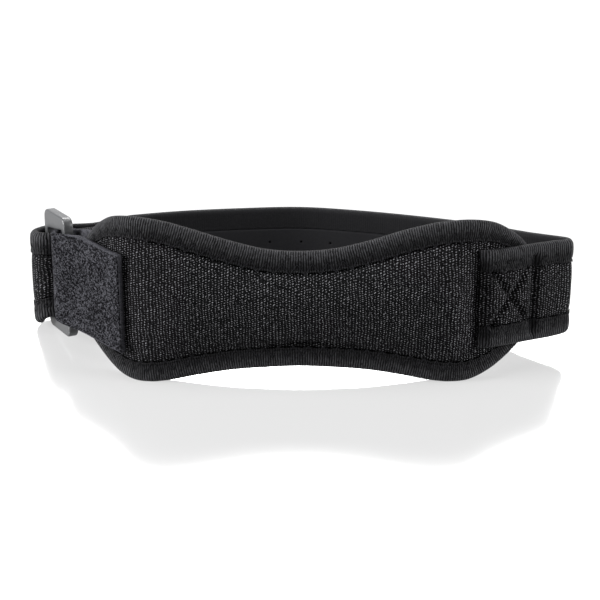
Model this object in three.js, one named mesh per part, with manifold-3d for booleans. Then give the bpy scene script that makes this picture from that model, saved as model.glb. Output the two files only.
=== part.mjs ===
// Patella strap: a padded front panel, a band round the back of the knee, a plastic ring and a
// fastening tab that passes through the ring and closes on the front of the panel.
// Millimetres. In the loop's own frame X runs across the knee, Y from its front to its back, and
// Z along the leg. The last group tips the loop back on its lower edges, as it stands by itself.

import * as THREE from 'three';
import { mergeVertices } from 'three/addons/utils/BufferGeometryUtils.js';
import Module from 'manifold-3d';

// Sizes of the padded panel, measured on its surface
const padLength = 172;
const padHeight = 60;
const padEdge = 3;
const padBulge = 5.5;
const padTape = 7.5;
const padHalf = padLength / 2;

// Sizes of the band
const strapWidth = 36;
const strapThickness = 3;
const strapTape = 8;
const loopDepth = 60;
const strapLap = 24;
const foldReach = 10.9;
const foldRadius = 2;
const strapHalf = strapWidth / 2;

// Sizes of the ring
const ringHeight = 45.4;
const ringDepth = 20.6;
const ringSideBar = 4;
const ringEndBar = 4.8;
const ringThickness = 3.6;
const ringCorner = 3.2;
const ringBevel = 0.6;
const ringWindowCorner = 1.07;

// Sizes of the tab
const tabWidth = 36.2;
const tabThickness = 2.3;
const tabLap = 25;
const tabRoot = 22;

// Sizes that all sewn pieces share
const tapeWall = 0.6;
const gap = 0.3;
const pressed = 0.4;

// How the ring lies: past the panel's end, in front of it and above its middle
const degrees = Math.PI / 180;
const ringTurn = 120 * degrees;
const ringPlay = 4.6;
const ringForward = 1;
const ringLift = 0.5;

// How the band turns: its fold at the right, and its loop round the ring's far bar, where it hangs
// down a little; the halves are shares of half its width, which folds and bars draw in
const foldEndHeading = 150 * degrees;
const foldReachHalf = 1;
const foldReachShare = 0.55;
const foldHalf = 0.98;
const foldSteps = 5;
const loopPlay = 0.7;
const loopEndHeading = 388 * degrees;
const loopEndHalf = 0.905;
const ringSag = 1;
const ringEntrySag = 0.5;
const lapSteps = 4;

// The loop round the far bar: it spreads and droops outside, and is drawn in where it enters the ring;
// half as a share of half the band's width, sag as a share of the band's sag in the ring
const loopRows = [
  { half: 0.96, sag: 1.6 },
  { half: 0.985, sag: 2.4 },
  { half: 1, sag: 2.9 },
  { half: 1, sag: 2.9 },
  { half: 1, sag: 2.9 },
  { half: 0.985, sag: 2.6 },
  { half: 0.93, sag: 1.4 },
  { half: 0.9, sag: 0.9 },
  { half: 0.905, sag: 0.8 },
];

// How the tab turns round the ring's near bar, and how it leans: raised there, lowered at its free end
const tabBarPlay = 0.3;
const tabBarOut = 0.6;
const tabBarHalf = 0.925;
const tabRise = 1.3;
const tabDroop = 1.6;
const tabBarSteps = 8;

// Roundings as shares of a thickness
const tapeRounding = 0.3;
const tabRounding = 0.25;

// Where the panel bends back towards the band: start as a share of its half length
const leftBend = { from: 0.593 * padHalf, radius: 0.2326 * padHalf, angle: 45 * degrees };
const rightBend = { from: 0.581 * padHalf, radius: 0.465 * padHalf, angle: 27 * degrees };

// A point of the panel's middle layer, from its distance s along the surface
function padPlan(s) {
  const side = s < 0 ? -1 : 1;
  const bend = s < 0 ? leftBend : rightBend;
  const past = Math.max(0, Math.abs(s) - bend.from);
  const turned = Math.min(past / bend.radius, bend.angle);
  const straight = Math.max(0, past - bend.radius * bend.angle);
  const before = Math.min(Math.abs(s), bend.from);
  const across = before + bend.radius * Math.sin(turned) + straight * Math.cos(turned);
  const back = bend.radius * (1 - Math.cos(turned)) + straight * Math.sin(turned);
  return { x: side * across, y: back, heading: side * turned };
}

// The same point moved by an offset towards the front of the knee
function padOffset(s, front) {
  const p = padPlan(s);
  return { x: p.x + front * Math.sin(p.heading), y: p.y - front * Math.cos(p.heading), heading: p.heading };
}

// Panel outline: along as a share of the half length, the heights as shares of the half height,
// tape as a share of the edge tape's width
const outlineRows = [
  { along: 0.0, topLeft: 0.583, topRight: 0.583, bottom: 0.827, tape: 1 },
  { along: 0.14, topLeft: 0.61, topRight: 0.615, bottom: 0.843, tape: 1 },
  { along: 0.28, topLeft: 0.707, topRight: 0.71, bottom: 0.874, tape: 1 },
  { along: 0.42, topLeft: 0.833, topRight: 0.835, bottom: 0.938, tape: 1 },
  { along: 0.56, topLeft: 0.947, topRight: 0.927, bottom: 1.012, tape: 1 },
  { along: 0.68, topLeft: 0.987, topRight: 0.95, bottom: 1.02, tape: 1 },
  { along: 0.79, topLeft: 0.937, topRight: 0.895, bottom: 0.912, tape: 0.9 },
  { along: 0.88, topLeft: 0.793, topRight: 0.757, bottom: 0.757, tape: 0.75 },
  { along: 0.945, topLeft: 0.613, topRight: 0.6, bottom: 0.6, tape: 0.6 },
  { along: 0.985, topLeft: 0.4, topRight: 0.4, bottom: 0.4, tape: 0.55 },
];
const outlineEnd = { along: 1, tape: 0.5 };
const outlineSteps = 3;
const padEndSkip = 1;

// The outline as samples that run from the left end over the top to the right end and back below
function outlineSamples() {
  const inner = outlineRows.slice(1);
  const leftwards = [...outlineRows].reverse();
  const rows = [
    { along: -outlineEnd.along, up: 0, tape: outlineEnd.tape },
    ...leftwards.map((row) => ({ along: -row.along, up: row.topLeft, tape: row.tape })),
    ...inner.map((row) => ({ along: row.along, up: row.topRight, tape: row.tape })),
    { along: outlineEnd.along, up: 0, tape: outlineEnd.tape },
    ...[...inner].reverse().map((row) => ({ along: row.along, up: -row.bottom, tape: row.tape })),
    ...outlineRows.map((row) => ({ along: -row.along, up: -row.bottom, tape: row.tape })),
  ];
  const half = padHeight / 2;
  const knots = rows.map((row) => new THREE.Vector3(row.along * padHalf, row.up * half, 0));
  const curve = new THREE.CatmullRomCurve3(knots, true, 'centripetal');
  const count = rows.length * outlineSteps;
  return Array.from({ length: count }, (_, i) => {
    const point = curve.getPoint(i / count);
    const tangent = curve.getTangent(i / count);
    const row = rows[Math.floor(i / outlineSteps)];
    const next = rows[(Math.floor(i / outlineSteps) + 1) % rows.length];
    const share = (i % outlineSteps) / outlineSteps;
    const tape = THREE.MathUtils.lerp(row.tape, next.tape, share) * padTape;
    return { s: point.x, z: point.y, inS: tangent.y, inZ: -tangent.x, tape };
  });
}
const outline = outlineSamples();

// The bulge of the padding in front of the panel: highest in the middle, gone under strap and tab
const bulgeStart = { left: 0.46 * padHalf, right: 0.6 * padHalf };
const bulgeStop = { left: 0.79 * padHalf, right: 0.72 * padHalf };
const bulgeFullness = 2.6;
const bulgeSteps = 7;

function bulgeAt(s, share) {
  const from = s < 0 ? bulgeStart.left : bulgeStart.right;
  const to = s < 0 ? bulgeStop.left : bulgeStop.right;
  const along = 1 - THREE.MathUtils.smoothstep(Math.abs(s), from, to);
  return padBulge * along * (1 - Math.abs(share) ** bulgeFullness);
}

// A closed solid through rings of points, with its end rings capped by the flat section
function loft(rings, section) {
  const size = rings[0].length;
  const positions = rings.flat().flatMap((point) => [point.x, point.y, point.z]);
  const faces = [];
  const spans = section ? rings.length - 1 : rings.length;
  for (let i = 0; i < spans; i += 1) {
    const next = (i + 1) % rings.length;
    for (let j = 0; j < size; j += 1) {
      const a = i * size + j;
      const b = i * size + ((j + 1) % size);
      const c = next * size + ((j + 1) % size);
      const d = next * size + j;
      faces.push([a, b, c], [a, c, d]);
    }
  }
  if (section) {
    const contour = section.map(([across, up]) => new THREE.Vector2(across, up));
    const turn = Math.sign(THREE.ShapeUtils.area(contour));
    const last = (rings.length - 1) * size;
    THREE.ShapeUtils.triangulateShape(contour, []).forEach((triangle) => {
      const own = Math.sign(THREE.ShapeUtils.area(triangle.map((corner) => contour[corner])));
      const [a, b, c] = own === turn ? triangle : [...triangle].reverse();
      faces.push([c, b, a], [last + a, last + b, last + c]);
    });
  }
  return solid(positions, faces);
}

// A geometry from points and faces, turned so that its faces point out
function solid(positions, faces) {
  const at = (index) => new THREE.Vector3().fromArray(positions, index * 3);
  const volume = faces.reduce((sum, [a, b, c]) => sum + at(a).dot(at(b).cross(at(c))), 0);
  const ordered = volume < 0 ? faces.map(([a, b, c]) => [c, b, a]) : faces;
  const geometry = new THREE.BufferGeometry();
  geometry.setAttribute('position', new THREE.Float32BufferAttribute(positions, 3));
  geometry.setIndex(ordered.flat());
  geometry.computeVertexNormals();
  return geometry;
}

// Padded panel: thin under the edge tape, full thickness inside it, with the bulge in front
const tongue = padEdge / 2 - tapeWall - gap;

function padRing(index) {
  const top = outline[index];
  const bottom = outline[outline.length - index];
  const inset = (edge, distance) => ({ s: edge.s + edge.inS * distance, z: edge.z + edge.inZ * distance });
  const place = (edge, back) => {
    const p = padOffset(edge.s, -back);
    return new THREE.Vector3(p.x, p.y, edge.z);
  };
  const rim = tapeWall + gap;
  const outerTop = inset(top, rim);
  const innerTop = inset(top, top.tape + gap);
  const outerBottom = inset(bottom, rim);
  const innerBottom = inset(bottom, bottom.tape + gap);
  const ring = [place(outerBottom, -tongue), place(innerBottom, -tongue)];
  for (let k = 0; k <= bulgeSteps; k += 1) {
    const share = k / bulgeSteps;
    const s = THREE.MathUtils.lerp(innerBottom.s, innerTop.s, share);
    const z = THREE.MathUtils.lerp(innerBottom.z, innerTop.z, share);
    ring.push(place({ s, z }, -padEdge / 2 - bulgeAt(s, 2 * share - 1)));
  }
  ring.push(place(innerTop, -tongue), place(outerTop, -tongue));
  ring.push(place(outerTop, tongue), place(innerTop, tongue));
  ring.push(place(innerTop, padEdge / 2), place(innerBottom, padEdge / 2));
  ring.push(place(innerBottom, tongue), place(outerBottom, tongue));
  return ring;
}

function padGeometry() {
  const rings = [];
  for (let index = padEndSkip; index <= outline.length / 2 - padEndSkip; index += 1) {
    rings.push(padRing(index));
  }
  const [first] = rings;
  const { heading } = padPlan(-padHalf);
  const flat = first.map((point) => {
    const x = point.x - first[0].x;
    const y = point.y - first[0].y;
    return [x * Math.sin(heading) - y * Math.cos(heading), point.z];
  });
  return loft(rings, flat);
}

// Edge tape folded over an edge: across the layer, and inwards from the edge
function tapeSection(thickness, width) {
  const half = thickness / 2;
  const round = tapeRounding * thickness;
  const inside = half - tapeWall;
  return [
    [-half, width], [-half, round], [-half + round, 0], [half - round, 0], [half, round], [half, width],
    [inside, width], [inside, tapeWall], [-inside, tapeWall], [-inside, width],
  ];
}

function padTapeGeometry() {
  const rings = outline.map((edge) => tapeSection(padEdge, edge.tape).map(([across, inwards]) => {
    const p = padOffset(edge.s + edge.inS * inwards, -across);
    return new THREE.Vector3(p.x, p.y, edge.z + edge.inZ * inwards);
  }));
  return loft(rings, null);
}

// Points on an arc that turns left, from one heading to another, round a centre
function arcPoints(centre, radius, from, to, count) {
  return Array.from({ length: count + 1 }, (_, i) => {
    const heading = THREE.MathUtils.lerp(from, to, i / count);
    return { x: centre.x + radius * Math.sin(heading), y: centre.y - radius * Math.cos(heading) };
  });
}

// The ring stands across the panel's left end, its near bar just past that end
const padLeft = padPlan(-padHalf);
const outwards = { x: -Math.cos(padLeft.heading), y: -Math.sin(padLeft.heading) };
const forwards = { x: Math.sin(padLeft.heading), y: -Math.cos(padLeft.heading) };
const ringAlong = { x: Math.cos(ringTurn), y: Math.sin(ringTurn) };
const nearBar = {
  x: padLeft.x + outwards.x * (ringPlay + ringSideBar / 2) + forwards.x * ringForward,
  y: padLeft.y + outwards.y * (ringPlay + ringSideBar / 2) + forwards.y * ringForward,
};
const barSpan = ringDepth - ringSideBar;
const ringCentre = { x: nearBar.x + (ringAlong.x * barSpan) / 2, y: nearBar.y + (ringAlong.y * barSpan) / 2 };
const farBar = { x: nearBar.x + ringAlong.x * barSpan, y: nearBar.y + ringAlong.y * barSpan };
const barCorner = Math.hypot(ringSideBar / 2, ringThickness / 2);

// The band's plan: the front end on the panel, the fold at the right, the back of the knee, the
// loop round the ring's far bar, and the end that comes back inside the band
const strapOnPad = (padEdge + strapThickness) / 2 + gap;
const strapStart = padHalf - strapLap;
const leaving = padOffset(padHalf, strapOnPad);
const foldStart = {
  x: leaving.x + foldReach * Math.cos(leaving.heading),
  y: leaving.y + foldReach * Math.sin(leaving.heading),
};
const foldCentre = {
  x: foldStart.x - foldRadius * Math.sin(leaving.heading),
  y: foldStart.y + foldRadius * Math.cos(leaving.heading),
};
const loopRadius = barCorner + strapThickness / 2 + gap + loopPlay;
const loopCentre = { x: farBar.x - loopPlay, y: farBar.y - loopPlay };

// The band behind the knee: across as a share of the way from the loop's middle to its right fold
// or its left loop, back as a share of the loop's depth, half as a share of half the band's width,
// sag as a share of how far the band hangs down in the ring
const rearRows = [
  { across: 0.88, back: 0.403, half: 0.985, sag: 0, steps: 3 },
  { across: 0.69, back: 0.598, half: 1, sag: 0, steps: 3 },
  { across: 0.47, back: 0.767, half: 1, sag: 0, steps: 3 },
  { across: 0.23, back: 0.91, half: 1, sag: 0, steps: 3 },
  { across: 0.0, back: 0.995, half: 1, sag: 0, steps: 3 },
  { across: -0.24, back: 0.965, half: 1, sag: 0, steps: 3 },
  { across: -0.49, back: 0.892, half: 1, sag: 0, steps: 3 },
  { across: -0.685, back: 0.795, half: 1, sag: 0.1, steps: 2 },
  { across: -0.83, back: 0.7, half: 0.94, sag: 0.5, steps: 2 },
];
// The band's end, sewn on inside the band: shares of the last stretch before the ring
const endShares = [0.05, 0.4, 0.75];

function rearKnots() {
  const right = foldCentre.x;
  const left = loopCentre.x;
  return rearRows.map((row) => ({
    x: row.across * (row.across < 0 ? -left : right),
    y: row.back * loopDepth,
    half: row.half * strapHalf,
    steps: row.steps,
    sag: row.sag * ringSag,
  }));
}

function strapKnots() {
  const knots = [];
  for (let i = 0; i <= lapSteps; i += 1) {
    const p = padOffset(strapStart + (strapLap * i) / lapSteps, strapOnPad);
    knots.push({ x: p.x, y: p.y, half: strapHalf, steps: 1, sag: 0 });
  }
  knots.push({
    x: THREE.MathUtils.lerp(leaving.x, foldStart.x, foldReachShare),
    y: THREE.MathUtils.lerp(leaving.y, foldStart.y, foldReachShare),
    half: strapHalf * foldReachHalf,
    steps: 1,
    sag: 0,
  });
  arcPoints(foldCentre, foldRadius, leaving.heading, foldEndHeading, foldSteps)
    .forEach((p) => knots.push({ ...p, half: strapHalf * foldHalf, steps: 1, sag: 0 }));
  const rear = rearKnots();
  knots.push(...rear);
  const arc = arcPoints(loopCentre, loopRadius, 180 * degrees, loopEndHeading, loopRows.length - 1);
  arc.forEach((p, i) => knots.push({
    ...p,
    half: strapHalf * loopRows[i].half,
    steps: 1,
    sag: ringSag * loopRows[i].sag,
  }));
  const doubled = strapThickness + gap;
  const joins = [rear[rear.length - 1], rear[rear.length - 2]];
  const lap = { x: joins[1].x - joins[0].x, y: joins[1].y - joins[0].y };
  const length = Math.hypot(lap.x, lap.y);
  endShares.forEach((share) => knots.push({
    x: joins[0].x + lap.x * share + (doubled * lap.y) / length,
    y: joins[0].y + lap.y * share - (doubled * lap.x) / length,
    half: strapHalf * loopEndHalf,
    steps: 1,
    sag: ringEntrySag * ringSag,
  }));
  return knots;
}

// Stations along a plan curve, each with its outward direction, half height and drop
function stationsOf(knots) {
  const curve = new THREE.CatmullRomCurve3(
    knots.map((knot) => new THREE.Vector3(knot.x, knot.y, 0)), false, 'centripetal');
  const stations = [];
  const spans = knots.length - 1;
  const add = (index, share) => {
    const knot = knots[index];
    const next = knots[Math.min(index + 1, spans)];
    const t = (index + share) / spans;
    const point = curve.getPoint(t);
    const tangent = curve.getTangent(t);
    stations.push({
      x: point.x,
      y: point.y,
      outX: tangent.y,
      outY: -tangent.x,
      half: THREE.MathUtils.lerp(knot.half, next.half, share),
      drop: THREE.MathUtils.lerp(knot.sag, next.sag, share),
    });
  };
  for (let index = 0; index < spans; index += 1) {
    for (let step = 0; step < knots[index].steps; step += 1) {
      add(index, step / knots[index].steps);
    }
  }
  add(spans, 0);
  return stations;
}

// A strip whose section is drawn across its thickness and up its height
function sweep(stations, sectionOf) {
  const rings = stations.map((station) => sectionOf(station).map(([across, up]) => new THREE.Vector3(
    station.x + station.outX * across,
    station.y + station.outY * across,
    up - station.drop,
  )));
  return loft(rings, sectionOf(stations[0]));
}

function bandSection({ half }) {
  const thick = strapThickness / 2;
  const thin = thick - tapeWall - gap;
  const shoulder = half - strapTape - gap;
  const tip = half - tapeWall - gap;
  return [
    [-thick, -shoulder], [-thin, -shoulder], [-thin, -tip],
    [thin, -tip], [thin, -shoulder], [thick, -shoulder],
    [thick, shoulder], [thin, shoulder], [thin, tip],
    [-thin, tip], [-thin, shoulder], [-thick, shoulder],
  ];
}

function bandTapeSection(up) {
  return ({ half }) => tapeSection(strapThickness, strapTape)
    .map(([across, inwards]) => [across, up * (half - inwards)]);
}

// The tab: sewn behind the panel's left end, out through the ring, round its near bar, and back
// over the front of the panel to its free end. Sewn shares are of its root; a lap row has a share
// of the lap and how far the tab stands off the panel there
const tabSewnShares = [1, 0.66, 0.33, 0];
const tabLapRows = [
  { share: 0.15, slack: 0.35 },
  { share: 0.4, slack: 0.15 },
  { share: 0.65, slack: 0.1 },
  { share: 0.85, slack: 0.05 },
  { share: 1, slack: 0 },
];

function tabKnots() {
  const tabHalf = tabWidth / 2;
  const onPad = (padEdge + tabThickness) / 2 + gap;
  const wrapRadius = barCorner + tabThickness / 2 + gap + tabBarPlay;
  const wrapCentre = { x: nearBar.x + outwards.x * tabBarOut, y: nearBar.y + outwards.y * tabBarOut };
  const away = Math.PI + padLeft.heading;
  const knots = [];
  tabSewnShares.forEach((share) => {
    const p = padOffset(-padHalf + tabRoot * share, -onPad);
    knots.push({ x: p.x, y: p.y, half: tabHalf, steps: 1, sag: -tabRise });
  });
  arcPoints(wrapCentre, wrapRadius, away, away + Math.PI, tabBarSteps)
    .forEach((p) => knots.push({ ...p, half: tabHalf * tabBarHalf, steps: 1, sag: -tabRise }));
  tabLapRows.forEach(({ share, slack }) => {
    const s = -padHalf + tabLap * share;
    const p = padOffset(s, onPad + bulgeAt(s, 0) + slack);
    const sag = THREE.MathUtils.lerp(-tabRise, tabDroop, share);
    knots.push({ x: p.x, y: p.y, half: tabHalf, steps: 1, sag });
  });
  return knots;
}

function tabSection({ half }) {
  const thick = tabThickness / 2;
  const round = tabRounding * tabThickness;
  return [
    [-thick, -half + round], [-thick + round, -half], [thick - round, -half], [thick, -half + round],
    [thick, half - round], [thick - round, half], [-thick + round, half], [-thick, half - round],
  ];
}

// The ring: a rounded rectangle with a rounded window, drawn upright and turned to its place
function roundedRectangle(path, width, height, radius) {
  const w = width / 2;
  const h = height / 2;
  path.moveTo(-w + radius, -h);
  path.lineTo(w - radius, -h);
  path.absarc(w - radius, -h + radius, radius, -Math.PI / 2, 0, false);
  path.lineTo(w, h - radius);
  path.absarc(w - radius, h - radius, radius, 0, Math.PI / 2, false);
  path.lineTo(-w + radius, h);
  path.absarc(-w + radius, h - radius, radius, Math.PI / 2, Math.PI, false);
  path.lineTo(-w, -h + radius);
  path.absarc(-w + radius, -h + radius, radius, Math.PI, 1.5 * Math.PI, false);
  return path;
}

function ringGeometry() {
  const shape = roundedRectangle(
    new THREE.Shape(), ringDepth - 2 * ringBevel, ringHeight - 2 * ringBevel, ringCorner - ringBevel);
  shape.holes.push(roundedRectangle(
    new THREE.Path(),
    ringDepth - 2 * ringSideBar + 2 * ringBevel,
    ringHeight - 2 * ringEndBar + 2 * ringBevel,
    ringWindowCorner + ringBevel));
  const geometry = new THREE.ExtrudeGeometry(shape, {
    depth: ringThickness - 2 * ringBevel,
    bevelEnabled: true,
    bevelSize: ringBevel,
    bevelThickness: ringBevel,
    bevelSegments: 1,
    curveSegments: 4,
  });
  geometry.translate(0, 0, ringBevel - ringThickness / 2);
  geometry.rotateX(Math.PI / 2);
  return geometry;
}

// How the loop stands by itself: on the panel's two lower lobes and the band's lower edge behind
const strap = stationsOf(strapKnots());
const lobe = outline.reduce((low, edge) => (edge.z < low.z ? edge : low));
const lobeBack = padPlan(lobe.s).y;
const rearBack = Math.max(...strap.map((station) => station.y));
const tilt = Math.atan2(-lobe.z - strapHalf, rearBack - lobeBack);
const floorDrop = Math.sin(tilt) * lobeBack - Math.cos(tilt) * lobe.z;

const wasm = await Module();
wasm.setup();

function toManifold(geometry) {
  const bare = geometry.clone();
  bare.deleteAttribute('normal');
  bare.deleteAttribute('uv');
  const merged = mergeVertices(bare, 1e-4);
  return new wasm.Manifold(new wasm.Mesh({
    numProp: 3,
    vertProperties: new Float32Array(merged.attributes.position.array),
    triVerts: new Uint32Array(merged.index.array),
  }));
}

// A piece pressed flat where it rests on the surface that the loop stands on
function pressedFlat(geometry, restMatrix) {
  const room = 2 * (padLength + loopDepth);
  const floor = new THREE.BoxGeometry(room, room, room);
  floor.translate(0, 0, -room / 2);
  floor.applyMatrix4(restMatrix.clone().invert());
  const mesh = toManifold(geometry).subtract(toManifold(floor)).getMesh();
  const result = new THREE.BufferGeometry();
  result.setAttribute('position', new THREE.Float32BufferAttribute(mesh.vertProperties, 3));
  result.setIndex(new THREE.Uint32BufferAttribute(mesh.triVerts, 1));
  result.computeVertexNormals();
  return result;
}

const knit = new THREE.MeshStandardMaterial({ color: 0x151517, roughness: 0.92, metalness: 0 });
const tape = new THREE.MeshStandardMaterial({ color: 0x1b1b1e, roughness: 0.8, metalness: 0 });
const pile = new THREE.MeshStandardMaterial({ color: 0x1e1e22, roughness: 0.95, metalness: 0 });
const plastic = new THREE.MeshStandardMaterial({ color: 0x3c3d40, roughness: 0.45, metalness: 0 });

function named(name, geometry, material) {
  const mesh = new THREE.Mesh(geometry, material);
  mesh.name = name;
  return mesh;
}

const loop = new THREE.Group();
loop.rotation.x = -tilt;
loop.position.z = floorDrop - pressed;
loop.updateMatrix();

loop.add(named('front_pad', padGeometry(), knit));
loop.add(named('pad_binding', pressedFlat(padTapeGeometry(), loop.matrix), tape));
loop.add(named('strap_band', sweep(strap, bandSection), knit));
loop.add(named('strap_binding_upper', sweep(strap, bandTapeSection(1)), tape));
loop.add(named('strap_binding_lower', pressedFlat(sweep(strap, bandTapeSection(-1)), loop.matrix), tape));
loop.add(named('hook_tab', sweep(stationsOf(tabKnots()), tabSection), pile));

const ring = named('buckle_ring', ringGeometry(), plastic);
ring.position.set(ringCentre.x, ringCentre.y, ringLift);
ring.rotation.z = ringTurn;
loop.add(ring);

// The part's origin: the middle of its box, on the surface that it stands on
const part = new THREE.Group();
part.add(loop);
part.updateMatrixWorld(true);
const box = new THREE.Box3().setFromObject(part, true);
loop.position.x = -(box.min.x + box.max.x) / 2;
loop.position.y = -(box.min.y + box.max.y) / 2;

export default part;
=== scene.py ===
"""Patella strap: the looks of its cloth, tape, pile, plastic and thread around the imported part.

The loop's own frame has X across the knee, Y from its front to its back and Z along the leg. The
plan of the cloth is worked out there, and one matrix tips it back on its lower edges, as it stands.
"""

import bisect
import math
from collections import namedtuple

import bmesh
import bpy
from bpy.props import FloatProperty, FloatVectorProperty, PointerProperty
from mathutils import Matrix, Vector, noise


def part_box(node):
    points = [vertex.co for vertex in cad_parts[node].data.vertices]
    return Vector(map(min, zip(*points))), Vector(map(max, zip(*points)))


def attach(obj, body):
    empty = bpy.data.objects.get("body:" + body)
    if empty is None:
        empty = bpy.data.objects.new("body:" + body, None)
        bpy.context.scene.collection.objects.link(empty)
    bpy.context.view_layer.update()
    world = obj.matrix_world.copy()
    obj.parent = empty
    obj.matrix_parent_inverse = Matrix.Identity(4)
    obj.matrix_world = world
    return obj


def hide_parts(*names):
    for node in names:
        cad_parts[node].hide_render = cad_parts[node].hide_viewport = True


bl_info = {
    "name": "Patella Strap",
    "version": (1, 0, 0),
    "blender": (4, 5, 0),
    "location": "View3D > Sidebar > Patella Strap",
    "description": "Makes a padded patella strap with a band, a ring and a fastening tab",
    "category": "Add Mesh",
}

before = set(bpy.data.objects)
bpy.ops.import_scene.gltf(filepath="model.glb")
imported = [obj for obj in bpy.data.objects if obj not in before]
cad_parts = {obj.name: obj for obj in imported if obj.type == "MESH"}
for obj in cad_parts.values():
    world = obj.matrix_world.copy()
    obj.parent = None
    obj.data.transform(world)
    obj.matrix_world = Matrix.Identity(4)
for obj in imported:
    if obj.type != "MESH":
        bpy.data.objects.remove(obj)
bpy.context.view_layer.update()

MM = 0.001
BODY = "root"
PATTERN = "pattern"
# How far the pattern of an inner face lies from that of the outer one, on cloth and on tape
INNER_SIDE = 1.0
TAPE_INNER_SIDE = 0.5
# The lining's place among a piece's materials
LINED = 1
WELD = 1e-7
FINE = 0.0007


def length(name, default, description):
    return FloatProperty(name=name, description=description, default=default, min=0.0, unit="LENGTH")


def colour(name, default, description):
    return FloatVectorProperty(
        name=name, description=description, default=default, size=3, min=0.0, max=1.0, subtype="COLOR"
    )


class StrapSizes(bpy.types.PropertyGroup):
    """Sizes of the strap's pieces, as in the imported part."""

    pad_length: length("Pad length", 0.172, "Length of the front pad along its surface")
    pad_height: length("Pad height", 0.060, "Height of the front pad at its lobes")
    pad_edge: length("Pad edge", 0.003, "Thickness of the pad at its edge")
    pad_bulge: length("Pad bulge", 0.0055, "How far the padding stands in front of the pad")
    pad_tape: length("Pad tape", 0.0075, "Width of the tape round the pad")
    strap_width: length("Band width", 0.036, "Height of the band")
    strap_thickness: length("Band thickness", 0.003, "Thickness of the band")
    strap_tape: length("Band tape", 0.008, "Width of the tape on the band's edges")
    strap_lap: length("Band lap", 0.024, "How far the band lies on the pad")
    loop_depth: length("Loop depth", 0.060, "Depth of the loop from the pad to its back")
    fold_reach: length("Fold reach", 0.0109, "From the pad's end to the band's right fold")
    fold_radius: length("Fold radius", 0.002, "Radius of the band's right fold")
    ring_height: length("Ring height", 0.0454, "Height of the ring")
    ring_depth: length("Ring depth", 0.0206, "Length of the ring across its bars")
    ring_side_bar: length("Ring side bar", 0.004, "Width of the ring's long bars")
    ring_end_bar: length("Ring end bar", 0.0048, "Width of the ring's short bars")
    ring_thickness: length("Ring thickness", 0.0036, "Thickness of the ring")
    ring_corner: length("Ring corner", 0.0032, "Radius of the ring's corners")
    ring_window: length("Ring window corner", 0.00107, "Radius of the corners of the ring's window")
    ring_bevel: length("Ring bevel", 0.0006, "Rounding of the ring's edges")
    tab_width: length("Tab width", 0.0362, "Height of the tab")
    tab_thickness: length("Tab thickness", 0.0023, "Thickness of the tab")
    tab_lap: length("Tab lap", 0.025, "How far the tab's free end lies over the pad")
    tab_root: length("Tab root", 0.022, "How far the tab is sewn on behind the pad")
    tape_wall: length("Tape wall", 0.0006, "Thickness of the tape")
    thread: length("Thread", 0.00026, "Diameter of the sewing thread")


class StrapFinishes(bpy.types.PropertyGroup):
    """Colours of the strap's cloth, tape, pile, plastic and thread."""

    knit_shade: colour("Knit shade", (0.0011, 0.0011, 0.0013), "Knit between its loops")
    # The knit's loops are painted lighter than the ground between them: a painted sheen.
    knit_light: colour("Knit light", (0.215, 0.215, 0.227), "Loops of the knit that catch the light")
    lining: colour("Lining", (0.0112, 0.0112, 0.0122), "Smooth inner face of the band and the pad")
    tape_shade: colour("Tape shade", (0.0016, 0.0016, 0.0018), "Tape between its ribs")
    tape_light: colour("Tape light", (0.040, 0.040, 0.043), "Ribs of the tape")
    pile_shade: colour("Pile shade", (0.0015, 0.0015, 0.0020), "Pile of the tab, deep down")
    pile_light: colour("Pile light", (0.050, 0.050, 0.057), "Tips of the tab's pile")
    plastic: colour("Plastic", (0.040, 0.041, 0.043), "Ring")
    thread: colour("Thread", (0.008, 0.008, 0.009), "Sewing thread")
    floor: colour("Floor", (0.14, 0.14, 0.14), "Floor and backdrop")


# The pad's outline: along as a share of its half length, heights as shares of its half height,
# tape as a share of the tape's width
OutlineRow = namedtuple("OutlineRow", "along top_left top_right bottom tape")
OUTLINE = (
    OutlineRow(0.0, 0.583, 0.583, 0.827, 1.0),
    OutlineRow(0.14, 0.61, 0.615, 0.843, 1.0),
    OutlineRow(0.28, 0.707, 0.71, 0.874, 1.0),
    OutlineRow(0.42, 0.833, 0.835, 0.938, 1.0),
    OutlineRow(0.56, 0.947, 0.927, 1.012, 1.0),
    OutlineRow(0.68, 0.987, 0.95, 1.02, 1.0),
    OutlineRow(0.79, 0.937, 0.895, 0.912, 0.9),
    OutlineRow(0.88, 0.793, 0.757, 0.757, 0.75),
    OutlineRow(0.945, 0.613, 0.6, 0.6, 0.6),
    OutlineRow(0.985, 0.4, 0.4, 0.4, 0.55),
)
OUTLINE_END = OutlineRow(1.0, 0.0, 0.0, 0.0, 0.5)
CAD_OUTLINE_STEPS = 3

# Where the pad bends back: start and radius as shares of its half length
Bend = namedtuple("Bend", "start radius angle")
LEFT_BEND = Bend(0.593, 0.2326, math.radians(45))
RIGHT_BEND = Bend(0.581, 0.465, math.radians(27))

# The bulge of the padding: where it starts to fall and where it ends, as shares of the half length
Fall = namedtuple("Fall", "start stop")
LEFT_FALL = Fall(0.46, 0.79)
RIGHT_FALL = Fall(0.6, 0.72)
BULGE_FULLNESS = 2.6

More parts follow.
